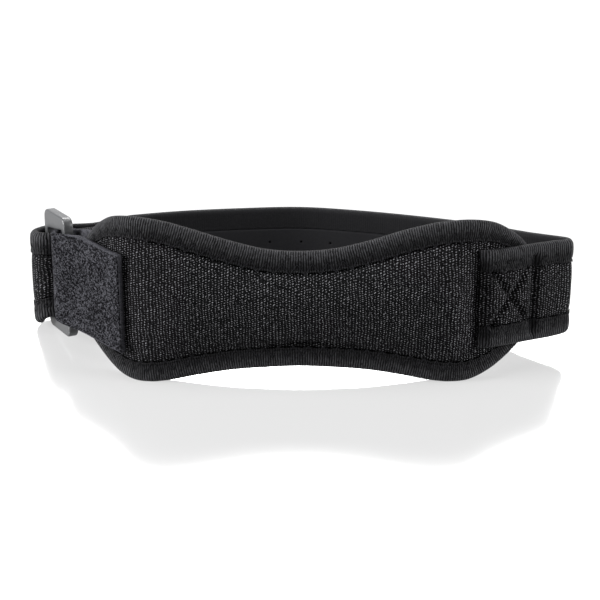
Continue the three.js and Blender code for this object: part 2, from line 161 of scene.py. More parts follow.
# The band behind the knee: across as a share of the way to its fold or its loop, back as a share
# of the loop's depth, half as a share of half its width, sag as a share of its sag in the ring
RearRow = namedtuple("RearRow", "across back half sag")
REAR = (
    RearRow(0.88, 0.403, 0.985, 0.0),
    RearRow(0.69, 0.598, 1.0, 0.0),
    RearRow(0.47, 0.767, 1.0, 0.0),
    RearRow(0.23, 0.91, 1.0, 0.0),
    RearRow(0.0, 0.995, 1.0, 0.0),
    RearRow(-0.24, 0.965, 1.0, 0.0),
    RearRow(-0.49, 0.892, 1.0, 0.0),
    RearRow(-0.685, 0.795, 1.0, 0.1),
    RearRow(-0.83, 0.7, 0.94, 0.5),
)
REACH_HALF = 1.0
REACH_SHARE = 0.55
FOLD_HALF = 0.98
LOOP_END_HALF = 0.905
END_SHARES = (0.05, 0.4, 0.75)
END_SAG = 0.5
LAP_STEPS = 4

# The loop round the far bar: it spreads and droops outside, and is drawn in where it enters the ring
LoopRow = namedtuple("LoopRow", "half sag")
LOOP = (
    LoopRow(0.96, 1.6),
    LoopRow(0.985, 2.4),
    LoopRow(1.0, 2.9),
    LoopRow(1.0, 2.9),
    LoopRow(1.0, 2.9),
    LoopRow(0.985, 2.6),
    LoopRow(0.93, 1.4),
    LoopRow(0.9, 0.9),
    LoopRow(0.905, 0.8),
)

RING_TURN = math.radians(120)
RING_FORWARD = 0.001
RING_LIFT = 0.0005
RING_PLAY = 0.0046
RING_SAG = 0.001
LOOP_PLAY = 0.0007
FOLD_END = math.radians(150)
LOOP_END = math.radians(388)
FOLD_STEPS = 5
GAP = 0.0003

# The tab over the pad: share of its lap, and how far it stands off the pad
TabRow = namedtuple("TabRow", "share slack")
TAB_LAP = (
    TabRow(0.15, 0.00035),
    TabRow(0.4, 0.00015),
    TabRow(0.65, 0.0001),
    TabRow(0.85, 0.00005),
    TabRow(1.0, 0.0),
)
TAB_SEWN = (1.0, 0.66, 0.33, 0.0)
TAB_BEND_HALF = 0.925
TAB_BEND_STEPS = 8
TAB_RISE = 0.0013
TAB_DROOP = 0.0016
TAB_BEND_PLAY = 0.0003
TAB_BEND_OUT = 0.0006

Knot = namedtuple("Knot", "x y half sag")
Station = namedtuple("Station", "s x y out half drop")
Edge = namedtuple("Edge", "run s z inward tape")


def lerp(a, b, share):
    return a + (b - a) * share


def smoothstep(value, low, high):
    t = min(max((value - low) / (high - low), 0.0), 1.0)
    return t * t * (3 - 2 * t)


class Spline:
    """A smooth plane curve through points, whose speed follows the distances between them."""

    def __init__(self, points, closed):
        self.points = [Vector(p) for p in points]
        self.closed = closed
        self.spans = len(points) if closed else len(points) - 1

    def neighbour(self, index):
        count = len(self.points)
        if self.closed:
            return self.points[index % count]
        if index < 0:
            return 2 * self.points[0] - self.points[1]
        if index >= count:
            return 2 * self.points[-1] - self.points[-2]
        return self.points[index]

    def at(self, span, share):
        """The point and the direction at a share of a span."""
        p = [self.neighbour(span + k) for k in (-1, 0, 1, 2)]
        d = [math.sqrt(max((b - a).length, WELD)) for a, b in zip(p, p[1:])]
        start = (p[1] - p[0]) / d[0] - (p[2] - p[0]) / (d[0] + d[1]) + (p[2] - p[1]) / d[1]
        end = (p[2] - p[1]) / d[1] - (p[3] - p[1]) / (d[1] + d[2]) + (p[3] - p[2]) / d[2]
        start, end = start * d[1], end * d[1]
        square = 3 * (p[2] - p[1]) - 2 * start - end
        cube = 2 * (p[1] - p[2]) + start + end
        point = p[1] + start * share + square * share**2 + cube * share**3
        direction = start + 2 * square * share + 3 * cube * share**2
        return point, direction.normalized()


def arc(centre, radius, start, end, count):
    """Points on an arc that turns left, from one heading to another, round a centre."""
    headings = [lerp(start, end, i / count) for i in range(count + 1)]
    return [centre + radius * Vector((math.sin(h), -math.cos(h))) for h in headings]


class Table:
    """Values read off between rows that are sorted by their first column."""

    def __init__(self, rows):
        self.rows = sorted(rows)
        self.keys = [row[0] for row in self.rows]

    def at(self, key):
        i = min(max(bisect.bisect(self.keys, key), 1), len(self.keys) - 1)
        low, high = self.rows[i - 1], self.rows[i]
        share = min(max((key - low[0]) / max(high[0] - low[0], WELD), 0.0), 1.0)
        return [lerp(a, b, share) for a, b in zip(low[1:], high[1:])]


class Strip:
    """A strip of cloth that stands on edge, as close stations along its middle layer."""

    def __init__(self, stations):
        self.stations = stations
        self.length = stations[-1].s
        self.table = Table([(t.s, t.x, t.y, *t.out, t.half, t.drop) for t in stations])

    def at(self, s):
        """A station anywhere along the strip."""
        x, y, out_x, out_y, half, drop = self.table.at(s)
        return Station(s, x, y, Vector((out_x, out_y)), half, drop)


def off(station, across, up):
    """A point at a station, so far out from the middle layer and so far up."""
    x = station.x + station.out.x * across
    y = station.y + station.out.y * across
    return Vector((x, y, up - station.drop))


class Plan:
    """Where each piece of cloth runs, in the loop's own frame, in metres."""

    def __init__(self, sizes):
        self.sizes = sizes
        self.pad_half = sizes.pad_length / 2
        self.strap_half = sizes.strap_width / 2
        steps = max(2, math.ceil(sizes.pad_length / len(OUTLINE) / FINE / 2))
        self.outline, self.outline_run = self.outline_edges(steps)
        self.outline_skip = round(steps / CAD_OUTLINE_STEPS)
        self.inner = self.inner_edges()
        self.ring_layout()
        self.strap = Strip(self.stations(self.strap_knots()))
        self.tab = Strip(self.stations(self.tab_knots()))
        self.place = self.resting_place()

    def pad(self, s, front=0.0):
        """A point at s along the pad, moved towards the front, and the pad's heading there."""
        side, bend = (-1, LEFT_BEND) if s < 0 else (1, RIGHT_BEND)
        start, radius = bend.start * self.pad_half, bend.radius * self.pad_half
        past = max(0.0, abs(s) - start)
        turned = min(past / radius, bend.angle)
        straight = max(0.0, past - radius * bend.angle)
        x = side * (min(abs(s), start) + radius * math.sin(turned) + straight * math.cos(turned))
        y = radius * (1 - math.cos(turned)) + straight * math.sin(turned)
        heading = side * turned
        return Vector((x + front * math.sin(heading), y - front * math.cos(heading))), heading

    def outline_edges(self, steps):
        """The outline from the pad's left end over its top and back below, and its length."""
        left, right = list(reversed(OUTLINE)), list(OUTLINE[1:])
        rows = [(-OUTLINE_END.along, 0.0, OUTLINE_END.tape)]
        rows += [(-r.along, r.top_left, r.tape) for r in left]
        rows += [(r.along, r.top_right, r.tape) for r in right]
        rows += [(OUTLINE_END.along, 0.0, OUTLINE_END.tape)]
        rows += [(r.along, -r.bottom, r.tape) for r in reversed(right)]
        rows += [(-r.along, -r.bottom, r.tape) for r in OUTLINE]
        half = self.sizes.pad_height / 2
        curve = Spline([(along * self.pad_half, up * half) for along, up, _ in rows], True)
        edges, run, last = [], 0.0, None
        for span, (row, after) in enumerate(zip(rows, rows[1:] + rows[:1])):
            for step in range(steps):
                point, way = curve.at(span, step / steps)
                run += (point - last).length if last else 0.0
                last = point
                tape = lerp(row[2], after[2], step / steps) * self.sizes.pad_tape
                edges.append(Edge(run, point.x, point.y, Vector((way.y, -way.x)), tape))
        return edges, run + (Vector((edges[0].s, edges[0].z)) - last).length

    def inner_edges(self):
        """The knit's upper and lower limit at each s, where the tape ends."""
        half = len(self.outline) // 2
        top, bottom = [], []
        for index, edge in enumerate(self.outline):
            point = Vector((edge.s, edge.z)) + edge.inward * (edge.tape + GAP)
            (top if index <= half else bottom).append((point.x, point.y))
        return Table(top), Table(bottom)

    def bulge(self, s, share):
        fall = LEFT_FALL if s < 0 else RIGHT_FALL
        along = 1 - smoothstep(abs(s), fall.start * self.pad_half, fall.stop * self.pad_half)
        return self.sizes.pad_bulge * along * (1 - min(abs(share), 1.0) ** BULGE_FULLNESS)

    def front_at(self, s, z):
        """How far the knit stands in front of the pad's middle layer."""
        top, bottom = self.inner[0].at(s)[0], self.inner[1].at(s)[0]
        share = (2 * z - top - bottom) / max(top - bottom, WELD)
        return self.sizes.pad_edge / 2 + self.bulge(s, share)

    def ring_layout(self):
        sizes = self.sizes
        end, heading = self.pad(-self.pad_half)
        self.left_heading = heading
        self.outwards = Vector((-math.cos(heading), -math.sin(heading)))
        forwards = Vector((math.sin(heading), -math.cos(heading)))
        along = Vector((math.cos(RING_TURN), math.sin(RING_TURN)))
        reach = RING_PLAY + sizes.ring_side_bar / 2
        self.near_bar = end + self.outwards * reach + forwards * RING_FORWARD
        span = sizes.ring_depth - sizes.ring_side_bar
        self.far_bar = self.near_bar + along * span
        self.ring_centre = self.near_bar + along * span / 2
        self.bar_corner = math.hypot(sizes.ring_side_bar / 2, sizes.ring_thickness / 2)

    def strap_knots(self):
        sizes = self.sizes
        on_pad = (sizes.pad_edge + sizes.strap_thickness) / 2 + GAP
        leaving, heading = self.pad(self.pad_half, on_pad)
        forth = Vector((math.cos(heading), math.sin(heading)))
        fold_start = leaving + sizes.fold_reach * forth
        fold_centre = fold_start + sizes.fold_radius * Vector((-forth.y, forth.x))
        loop_centre = self.far_bar - Vector((LOOP_PLAY, LOOP_PLAY))
        loop_radius = self.bar_corner + sizes.strap_thickness / 2 + GAP + LOOP_PLAY
        knots = []
        for i in range(LAP_STEPS + 1):
            s = self.pad_half - sizes.strap_lap * (1 - i / LAP_STEPS)
            knots.append(Knot(*self.pad(s, on_pad)[0], 1.0, 0.0))
        knots.append(Knot(*leaving.lerp(fold_start, REACH_SHARE), REACH_HALF, 0.0))
        fold = arc(fold_centre, sizes.fold_radius, heading, FOLD_END, FOLD_STEPS)
        knots += [Knot(*p, FOLD_HALF, 0.0) for p in fold]
        rear = []
        for row in REAR:
            x = row.across * (-loop_centre.x if row.across < 0 else fold_centre.x)
            rear.append(Knot(x, row.back * sizes.loop_depth, row.half, row.sag))
        knots += rear
        loop = arc(loop_centre, loop_radius, math.pi, LOOP_END, len(LOOP) - 1)
        knots += [Knot(*p, row.half, row.sag) for p, row in zip(loop, LOOP)]
        entry, before = (Vector((k.x, k.y)) for k in (rear[-1], rear[-2]))
        lap = before - entry
        inside = Vector((lap.y, -lap.x)).normalized() * (sizes.strap_thickness + GAP)
        for share in END_SHARES:
            knots.append(Knot(*(entry + lap * share + inside), LOOP_END_HALF, END_SAG))
        return [k._replace(half=k.half * self.strap_half, sag=k.sag * RING_SAG) for k in knots]

    def tab_knots(self):
        sizes = self.sizes
        half = sizes.tab_width / 2
        on_pad = (sizes.pad_edge + sizes.tab_thickness) / 2 + GAP
        radius = self.bar_corner + sizes.tab_thickness / 2 + GAP + TAB_BEND_PLAY
        centre = self.near_bar + self.outwards * TAB_BEND_OUT
        away = math.pi + self.left_heading
        knots = []
        for share in TAB_SEWN:
            p, _ = self.pad(-self.pad_half + sizes.tab_root * share, -on_pad)
            knots.append(Knot(*p, half, -TAB_RISE))
        bend = arc(centre, radius, away, away + math.pi, TAB_BEND_STEPS)
        knots += [Knot(*p, half * TAB_BEND_HALF, -TAB_RISE) for p in bend]
        for row in TAB_LAP:
            s = -self.pad_half + sizes.tab_lap * row.share
            p, _ = self.pad(s, on_pad + self.bulge(s, 0.0) + row.slack)
            knots.append(Knot(*p, half, lerp(-TAB_RISE, TAB_DROOP, row.share)))
        return knots

    def stations(self, knots):
        """Close stations along a strip, each with its outward direction, half height and drop."""
        curve = Spline([(k.x, k.y) for k in knots], False)
        found, s, last = [], 0.0, None
        for span in range(curve.spans):
            here, after = knots[span], knots[span + 1]
            steps = max(1, round(math.dist(here[:2], after[:2]) / FINE))
            for step in range(steps + (span == curve.spans - 1)):
                share = step / steps
                point, way = curve.at(span, share)
                s += (point - last).length if last else 0.0
                last = point
                out = Vector((way.y, -way.x))
                half, drop = lerp(here.half, after.half, share), lerp(here.sag, after.sag, share)
                found.append(Station(s, point.x, point.y, out, half, drop))
        return found

    def resting_place(self):
        """The matrix that stands the loop on the pad's two lower lobes and the band behind."""
        edges, _ = self.outline_edges(CAD_OUTLINE_STEPS)
        lobe = min(edges, key=lambda edge: edge.z)
        back = self.pad(lobe.s)[0].y
        rear = max(station.y for station in self.strap.stations)
        tilt = math.atan2(-lobe.z - self.strap_half, rear - back)
        turn = Matrix.Rotation(-tilt, 4, "X")
        low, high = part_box("buckle_ring")
        centre = turn @ Vector((*self.ring_centre, RING_LIFT))
        return Matrix.Translation((low + high) / 2 - centre) @ turn


# Lines along which sewing or folding presses the cloth in, in millimetres on the piece's surface
Crease = namedtuple("Crease", "s0 z0 s1 z1 depth width")


def pressed_in(creases, s, z):
    """How deep the creases press the cloth in at a point of its surface."""
    deepest = 0.0
    for c in creases:
        a, b = Vector((c.s0, c.z0)) * MM, Vector((c.s1, c.z1)) * MM
        p, ab = Vector((s, z)), b - a
        share = min(max((p - a).dot(ab) / ab.length_squared, 0.0), 1.0)
        away = (p - a - ab * share).length / (c.width * MM)
        deepest = max(deepest, c.depth * MM * math.exp(-away * away))
    return deepest


# The sewn box and its cross, from the band's front end and its middle
BOX_CREASES = (
    Crease(21.3, -14.5, 21.3, 13.0, 1.9, 1.7),
    Crease(2.6, 13.6, 12.0, 13.2, 0.7, 0.7),
    Crease(12.0, 13.2, 20.0, 14.0, 0.4, 0.7),
    Crease(2.6, -14.0, 20.0, -14.2, 0.4, 0.8),
    Crease(4.0, 9.8, 18.8, -9.8, 1.6, 1.1),
    Crease(4.0, -9.8, 18.8, 9.8, 1.6, 1.1),
)
LAP_DROP = 0.0023
LAP_RISE = 0.0048
LAP_REACH = 0.03
# The tab's creases: s from its sewn end
TAB_CREASES = (
    Crease(71.0, 17.5, 72.6, 12.0, 0.35, 0.45),
)
# The pad's creases: s from its middle
PAD_CREASES = (
    Crease(-10.0, -16.4, -3.0, -15.4, 1.0, 0.7),
    Crease(-3.0, -15.4, 7.0, -15.3, 1.6, 0.7),
    Crease(7.0, -15.3, 20.0, -16.4, 1.1, 0.7),
)


def lap_pressed(s, z):
    """How deep the sewing presses the band in on the pad: its front end is drawn right down."""
    if s > LAP_REACH:
        return 0.0
    end = LAP_DROP * (1 - smoothstep(s, 0.0, LAP_RISE))
    return max(end, pressed_in(BOX_CREASES, s, z))


def squeezed(across, half, depth):
    """A place across a layer whose outer face is pressed in by depth."""
    return across - depth * (across + half) / (2 * half)


def sheet_mesh(rows, columns, place, measure):
    """A grid welded where its edges meet: place gives its points, measure its pattern in metres."""
    bm = bmesh.new()
    pattern = bm.loops.layers.uv.new(PATTERN)
    bmesh.ops.create_grid(bm, x_segments=rows, y_segments=columns, size=0.5)
    index = {v: (round((v.co.x + 0.5) * rows), round((v.co.y + 0.5) * columns)) for v in bm.verts}
    for face in bm.faces:
        for loop in face.loops:
            loop[pattern].uv = measure(*index[loop.vert])
    for vert, (i, j) in index.items():
        vert.co = place(i, j)
    bmesh.ops.remove_doubles(bm, verts=bm.verts, dist=WELD)
    bmesh.ops.holes_fill(bm, edges=[edge for edge in bm.edges if edge.is_boundary])
    bmesh.ops.recalc_face_normals(bm, faces=bm.faces)
    return bm


def strip_mesh(strip, section, shaped):
    """A strip's mesh from its section at each station. shaped gives how far out a point ends up."""
    stations = strip.stations
    sections = [section(station) for station in stations]
    count = len(sections[0])

    def place(i, j):
        across, up = sections[i][j % count]
        return off(stations[i], shaped(stations[i], across, up), up)

    def measure(i, j):
        across, up = sections[i][j % count]
        return stations[i].s, up + (INNER_SIDE if across < 0 else 0.0)

    return sheet_mesh(len(stations) - 1, count, place, measure)


def line_inside(bm):
    """Gives the second material, the lining, to the faces whose pattern lies on the inner side."""
    pattern = bm.loops.layers.uv[PATTERN]
    for face in bm.faces:
        middle = sum((loop[pattern].uv for loop in face.loops), Vector((0.0, 0.0))) / len(face.loops)
        if middle.y > INNER_SIDE / 2:
            face.material_index = LINED


def rounded(bm, edges, radius, segments):
    bmesh.ops.bevel(
        bm, geom=edges, offset=radius, segments=segments, affect="EDGES", profile=0.5, material=-1
    )


def shown(bm, name, kinds):
    """Turns a bmesh into a smooth object of these kinds of material."""
    mesh = bpy.data.meshes.new(name)
    bm.to_mesh(mesh)
    bm.free()
    for polygon in mesh.polygons:
        polygon.use_smooth = True
    for kind in kinds:
        mesh.materials.append(material(kind))
    piece = bpy.data.objects.new(name, mesh)
    bpy.context.scene.collection.objects.link(piece)
    return piece


def finished(bm, name, place, kinds, nodes=()):
    """Turns a bmesh in the loop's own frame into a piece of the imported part's frame."""
    piece = shown(bm, name, kinds)
    piece.data.transform(place)
    for vert in piece.data.vertices:
        vert.co.z = max(vert.co.z, 0.0)
    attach(piece, BODY)
    if nodes:
        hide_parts(*nodes)
    return piece


TAPE_STEPS = 14
TAPE_TURNS = 8
TAPE_OUTSIDE = 2 * TAPE_STEPS + TAPE_TURNS + 1


def tape_section(thickness, width, wall):
    """A tape folded over an edge: how far across the layer, and how far inwards from the edge.

    It starts at the inner edge of the back face, goes round the fold to the front face, and comes
    back inside.
    """
    half = thickness / 2
    back = [(-half, lerp(width, half, k / TAPE_STEPS)) for k in range(TAPE_STEPS)]
    bend = []
    for k in range(TAPE_TURNS + 1):
        angle = math.pi * k / TAPE_TURNS
        bend.append((-half * math.cos(angle), half - half * math.sin(angle)))
    front = [(half, lerp(half, width, (k + 1) / TAPE_STEPS)) for k in range(TAPE_STEPS)]
    within = half - wall
    inside = [(within, width), (within, half), (0.0, wall), (-within, half), (-within, width)]
    return back + bend + front + inside


# The tape's stitches, the ripple and the scallops between them, the needle holes and where their
# line lies, how far the zigzag reaches as a share of the tape's width, and the tape's puff
STITCH_PITCH = 0.005
RIPPLE = 0.00007
SCALLOP = 0.00012
PIT = 0.0005
PIT_WIDTH = 0.0005
PIT_LINE = 0.0046
PIT_SHARE = 0.6
ZIGZAG_REACH = 1.07
TAPE_PINCH = 0.00048
TAPE_PINCH_START = 0.8
TAPE_PUFF = 0.00045


def tape_relief(run, inwards, width):
    """How far the tape's outside stands out: puffed between its rows of needle holes."""
    share = min(inwards / width, 1.0)
    beat = (run / STITCH_PITCH) % 1.0
    to_hole = min(beat, 1 - beat) * STITCH_PITCH
    hole = math.hypot(to_hole, inwards - PIT_SHARE * width) / PIT_WIDTH
    puff = TAPE_PUFF * math.sin(math.pi * share)
    pinch = TAPE_PINCH * smoothstep(share, TAPE_PINCH_START, 1.0)
    ripple = RIPPLE * math.cos(2 * math.pi * beat) * share
    return puff - pinch - ripple - PIT * math.exp(-hole * hole)


def scalloped(run, width):
    """The tape's width, drawn in a little at each stitch."""
    return width - SCALLOP * math.cos(2 * math.pi * run / STITCH_PITCH)


def tape_mesh(rows, runs, widths, thickness, wall, on_edge):
    """A tape along an edge. on_edge places a point of it at one of the rows."""
    sections = [tape_section(thickness, scalloped(*pair), wall) for pair in zip(runs, widths)]
    count, widest = len(sections[0]), max(widths)

    def place(i, j):
        across, inwards = sections[i][j % count]
        outside = j % count < TAPE_OUTSIDE
        lift = tape_relief(runs[i], inwards, widths[i]) if outside else 0.0
        return on_edge(rows[i], across, inwards, lift)

    def measure(i, j):
        across, inwards = sections[i][j % count]
        return runs[i], inwards / widths[i] * widest + (TAPE_INNER_SIDE if across < 0 else 0.0)

    return sheet_mesh(len(rows) - 1, count, place, measure)


def threads(name, plan, runs):
    """Sewing thread as short round runs, each a few points long."""
    curve = bpy.data.curves.new(name, "CURVE")
    curve.dimensions = "3D"
    curve.bevel_depth = plan.sizes.thread / 2
    curve.bevel_resolution = 1
    curve.use_fill_caps = True
    for run in runs:
        spline = curve.splines.new("POLY")
        spline.points.add(len(run) - 1)
        for point, place in zip(spline.points, run):
            point.co = (*place, 1.0)
    source = bpy.data.objects.new(name + "_route", curve)
    mesh = bpy.data.meshes.new_from_object(source)
    bpy.data.objects.remove(source)
    bm = bmesh.new()
    bm.from_mesh(mesh)
    bpy.data.meshes.remove(mesh)
    bmesh.ops.recalc_face_normals(bm, faces=bm.faces)
    return finished(bm, name, plan.place, ["thread"])


# How far a stitch's ends and its middle stand off the surface
SUNK = -0.0003
PROUD = 0.0
STITCH_POINTS = 5


def stitch(surface, start, end):
    """One stitch on a surface, from one needle hole to the next."""
    run = []
    for k in range(STITCH_POINTS):
        share = k / (STITCH_POINTS - 1)
        lift = PROUD if 0 < k < STITCH_POINTS - 1 else SUNK
        run.append(surface(*(lerp(a, b, share) for a, b in zip(start, end)), lift))
    return run


def zigzag(surface, beats):
    """The stitches of a zigzag, out to the cloth and back once in each beat."""
    runs = []
    for beat in range(beats):
        start = beat * STITCH_PITCH
        middle, end = start + STITCH_PITCH / 2, start + STITCH_PITCH
        runs.append(stitch(surface, (start, PIT_SHARE), (middle, ZIGZAG_REACH)))
        runs.append(stitch(surface, (middle, ZIGZAG_REACH), (end, PIT_SHARE)))
    return runs


def operator(operation, reflected=False):
    """A method that puts a Math node between a wire and another value."""

    def apply(self, other):
        pair = (other, self) if reflected else (self, other)
        return self.math(operation, *pair)

    return apply


class Wire:
    """A number on its way through a material. Sums on it add Math nodes."""

    __add__, __radd__ = operator("ADD"), operator("ADD", reflected=True)
    __sub__, __rsub__ = operator("SUBTRACT"), operator("SUBTRACT", reflected=True)
    __mul__, __rmul__ = operator("MULTIPLY"), operator("MULTIPLY", reflected=True)
    __truediv__, __pow__ = operator("DIVIDE"), operator("POWER")

    def __init__(self, shader, socket):
        self.shader = shader
        self.socket = socket

    def math(self, operation, *values, clamp=False):
        node = self.shader.node("Math", {"operation": operation, "use_clamp": clamp}, *values)
        return Wire(self.shader, node.outputs[0])

    def floor(self):
        return self.math("FLOOR", self)

    def fraction(self):
        return self.math("FRACT", self)

    def halves(self):
        """0 and 1 by turns, from one whole number to the next."""
        return self.math("FLOORED_MODULO", self, 2.0)

    def wave(self):
        """From 0 to 1 and back once in each whole number."""
        return 0.5 - self.math("COSINE", self * (2 * math.pi)) * 0.5

    def clamped(self):
        return self.math("ADD", self, 0.0, clamp=True)

    def step(self, low, high):
        settings = {"interpolation_type": "SMOOTHSTEP"}
        node = self.shader.node("MapRange", settings, self, low, high, 0.0, 1.0)
        return Wire(self.shader, node.outputs[0])


class Shader:
    """A material under construction."""

    def __init__(self, name):
        self.material = bpy.data.materials.new(name)
        self.material.use_nodes = True
        self.tree = self.material.node_tree
        self.tree.nodes.clear()

    def node(self, kind, settings, *values, **named):
        """Adds a node: its settings come first, then the values or links of its sockets."""
        node = self.tree.nodes.new("ShaderNode" + kind)
        for key, value in settings.items():
            setattr(node, key, value)
        slots = list(zip(node.inputs, values))
        slots += [(node.inputs[key.replace("_", " ")], value) for key, value in named.items()]
        for slot, value in slots:
            if isinstance(value, Wire):
                self.tree.links.new(value.socket, slot)
            elif isinstance(value, bpy.types.NodeSocket):
                self.tree.links.new(value, slot)
            else:
                slot.default_value = value
        return node

    def pattern(self, millimetres_u, millimetres_v):
        """The cloth's own measure, in whole repeats each way."""
        uv = self.node("UVMap", {"uv_map": PATTERN})
        parts = self.node("SeparateXYZ", {}, uv.outputs[0])
        u, v = Wire(self, parts.outputs[0]), Wire(self, parts.outputs[1])
        return u / (millimetres_u * MM), v / (millimetres_v * MM)

    def noise(self, scale, detail=2.0, roughness=0.5):
        """Unevenness of the material itself; scale is repeats in a metre."""
        where = self.node("TexCoord", {})
        node = self.node(
            "TexNoise", {}, where.outputs["Object"], Scale=scale, Detail=detail, Roughness=roughness
        )
        return Wire(self, node.outputs[0])

    def random(self, u, v):
        """A fixed random number for each pair of whole numbers."""
        pair = self.node("CombineXYZ", {}, u, v, 0.0)
        node = self.node("TexWhiteNoise", {"noise_dimensions": "2D"}, pair.outputs[0])
        return Wire(self, node.outputs[0])

    def blend(self, share, low, high):
        """A colour between two colours."""
        node = self.node("Mix", {"data_type": "RGBA"})
        self.tree.links.new(share.socket, node.inputs[0])
        node.inputs[6].default_value = (*low, 1.0)
        node.inputs[7].default_value = (*high, 1.0)
        return node.outputs[2]

    def bump(self, height, distance):
        return self.node("Bump", {}, Strength=1.0, Distance=distance, Height=height).outputs[0]

    def finish(self, colour, roughness, normal=None, **constants):
        """The surface. Constants are the same all over it."""
        surface = self.node("BsdfPrincipled", {}, Base_Color=colour, Roughness=roughness, **constants)
        if normal is not None:
            self.tree.links.new(normal, surface.inputs["Normal"])
        self.node("OutputMaterial", {}, surface.outputs[0])
        return self.material


def tinted(colour, factor):
    return tuple(channel * factor for channel in colour)


# The knit's repeats in millimetres, how far its loops stray across and along, how fast each falls
# off there, where its edge lies and how grainy it is
KNIT_COLUMN = 1.06
KNIT_ROW = 0.8
KNIT_DRIFT = (1.2, 3.0)
KNIT_WAVER = (1.0, 1.2)
KNIT_LOOP = (6.5, 5.0)
KNIT_EDGE = (0.1, 0.9)
KNIT_GRAIN = 3.4
# Its tone: the ground's, and the parts of a loop's painted sheen that are fixed and left to luck
KNIT_GROUND = 0.08
KNIT_FIXED = 0.6
KNIT_LUCK = 0.3
KNIT_GAIN = 1.2
KNIT_CONTRAST = 2.0


def knit_material(name, finishes):
    """Warp knit with a net of raised loops in upright columns, their sheen painted into the colour."""
    shader = Shader(name)
    u, v = shader.pattern(KNIT_COLUMN, KNIT_ROW)
    drift = shader.noise(130.0) - 0.5
    waver = shader.noise(900.0, 1.0) - 0.5
    u = u + drift * KNIT_DRIFT[0] + waver * KNIT_WAVER[0]
    v = v + drift * KNIT_DRIFT[1] + waver * KNIT_WAVER[1]
    column = u.floor()
    v = v + column.halves() * 0.5
    across, along = u.fraction() - 0.5, v.fraction() - 0.5
    away = (across * across * KNIT_LOOP[0] + along * along * KNIT_LOOP[1]) ** 0.5
    loop = 1.0 - away.step(*KNIT_EDGE)
    luck = shader.random(column, v.floor())
    speckle = shader.noise(1900.0, 1.0, 0.8)
    grain = (speckle - 0.5) * KNIT_GRAIN
    plain = loop * (luck * KNIT_LUCK + KNIT_FIXED) + KNIT_GROUND
    tone = (plain * (grain + 1.0) * KNIT_GAIN).clamped() ** KNIT_CONTRAST
    # Painted sheen: the lighter colour on the loops stands in for the sheen that the knit's loops catch.
    colour = shader.blend(tone, finishes.knit_shade, finishes.knit_light)
    height = loop * (luck * 0.5 + 0.6) + speckle * 0.7
    normal = shader.bump(height, 0.6 * MM)
    return shader.finish(colour, 0.62, normal, Specular_IOR_Level=0.02)


# The lining's repeats in millimetres and the weights that make its tone
LINING_COLUMN = 0.5
LINING_ROW = 0.4
LINING_CLOUD = 0.5
LINING_GRAIN = 0.2
LINING_FUZZ = 0.8
LINING_GROUND = 0.1
LINING_LIGHT = 1.9


def lining_material(name, finishes):
    """Smooth jersey on the inner faces."""
    shader = Shader(name)
    u, v = shader.pattern(LINING_COLUMN, LINING_ROW)
    grain = u.wave() * v.wave()
    cloud = shader.noise(60.0, 3.0)
    fuzz = shader.noise(2200.0, 2.0, 0.6)
    woven = cloud * LINING_CLOUD + grain * LINING_GRAIN
    tone = (woven + (fuzz - 0.5) * LINING_FUZZ + LINING_GROUND).clamped()
    colour = shader.blend(tone, finishes.lining, tinted(finishes.lining, LINING_LIGHT))
    normal = shader.bump(grain * 0.5 + fuzz * 0.5, 0.05 * MM)
    return shader.finish(colour, 0.6, normal, Specular_IOR_Level=0.03)


# The tape's rib in millimetres, the weights that make its tone, how far from its edge its painted rim
# highlight fades, and how dark the painted shade in its needle holes is and where they end
RIB = 0.85
TAPE_WAVER = 0.7
TAPE_FIXED = 0.6
TAPE_LUCK = 0.7
TAPE_FUZZ = 1.1
TAPE_CLOUD = 0.3
TAPE_GROUND = 0.12
TAPE_GAIN = 1.45
TAPE_RIM_HIGHLIGHT = (1.0, 6.0)
TAPE_PLAIN_FUZZ = 0.3
TAPE_PLAIN = 0.25
TAPE_HOLE = (0.5, 1.4)
TAPE_HOLE_SHADE = 0.8


def tape_material(name, finishes):
    """Ribbed stretch tape, its ribs square to the edge that it covers, smoother on the inner face, with
    a painted highlight along its fold and painted shade in its needle holes.
    """
    shader = Shader(name)
    u, v = shader.pattern(RIB, 1.0)
    inner = v.step(0.6 * TAPE_INNER_SIDE / MM, 0.8 * TAPE_INNER_SIDE / MM)
    waver = shader.noise(500.0) - 0.5
    wavered = u + waver * TAPE_WAVER
    rib = wavered.wave()
    luck = shader.random(wavered.floor(), v.floor())
    fuzz = shader.noise(2400.0, 2.0, 0.6)
    cloud = shader.noise(300.0)
    ribbed = rib * (luck * TAPE_LUCK + TAPE_FIXED) + (fuzz - 0.5) * TAPE_FUZZ
    # Painted highlight: the ribs are painted lighter along the folded edge and darker further in, on
    # every tape edge alike.
    ribbed = (ribbed + (cloud - 0.5) * TAPE_CLOUD - TAPE_GROUND) * (TAPE_GAIN - v.step(*TAPE_RIM_HIGHLIGHT))
    plain = (fuzz - 0.5) * TAPE_PLAIN_FUZZ + TAPE_PLAIN
    beat = (u * (RIB * MM / STITCH_PITCH) + 0.5).fraction() - 0.5
    along_hole = beat * (STITCH_PITCH / PIT_WIDTH)
    across_hole = (v - PIT_LINE / MM) * (MM / PIT_WIDTH)
    from_hole = (along_hole**2.0 + across_hole**2.0) ** 0.5
    hole = 1.0 - from_hole.step(*TAPE_HOLE)
    # Painted shade: the needle holes are painted darker.
    tone = ((ribbed * (1.0 - inner) + plain * inner) * (1.0 - hole * TAPE_HOLE_SHADE)).clamped()
    colour = shader.blend(tone, finishes.tape_shade, finishes.tape_light)
    height = rib * (1.0 - inner * 0.7) + fuzz * 0.5
    normal = shader.bump(height, 0.16 * MM)
    return shader.finish(
        colour, 0.5, normal, Sheen_Weight=0.015, Sheen_Roughness=0.3, Specular_IOR_Level=0.04
    )


# The weights that make the pile's tone, and where its hem is painted lighter as a painted highlight, in
# millimetres from the tab's middle
PILE_NAP = 7.5
PILE_TIPS = 7.0
PILE_CLOUD = 1.2
PILE_GROUND = 0.16
PILE_HEM = (17.2, 17.6)
PILE_HEM_HIGHLIGHT = 0.7


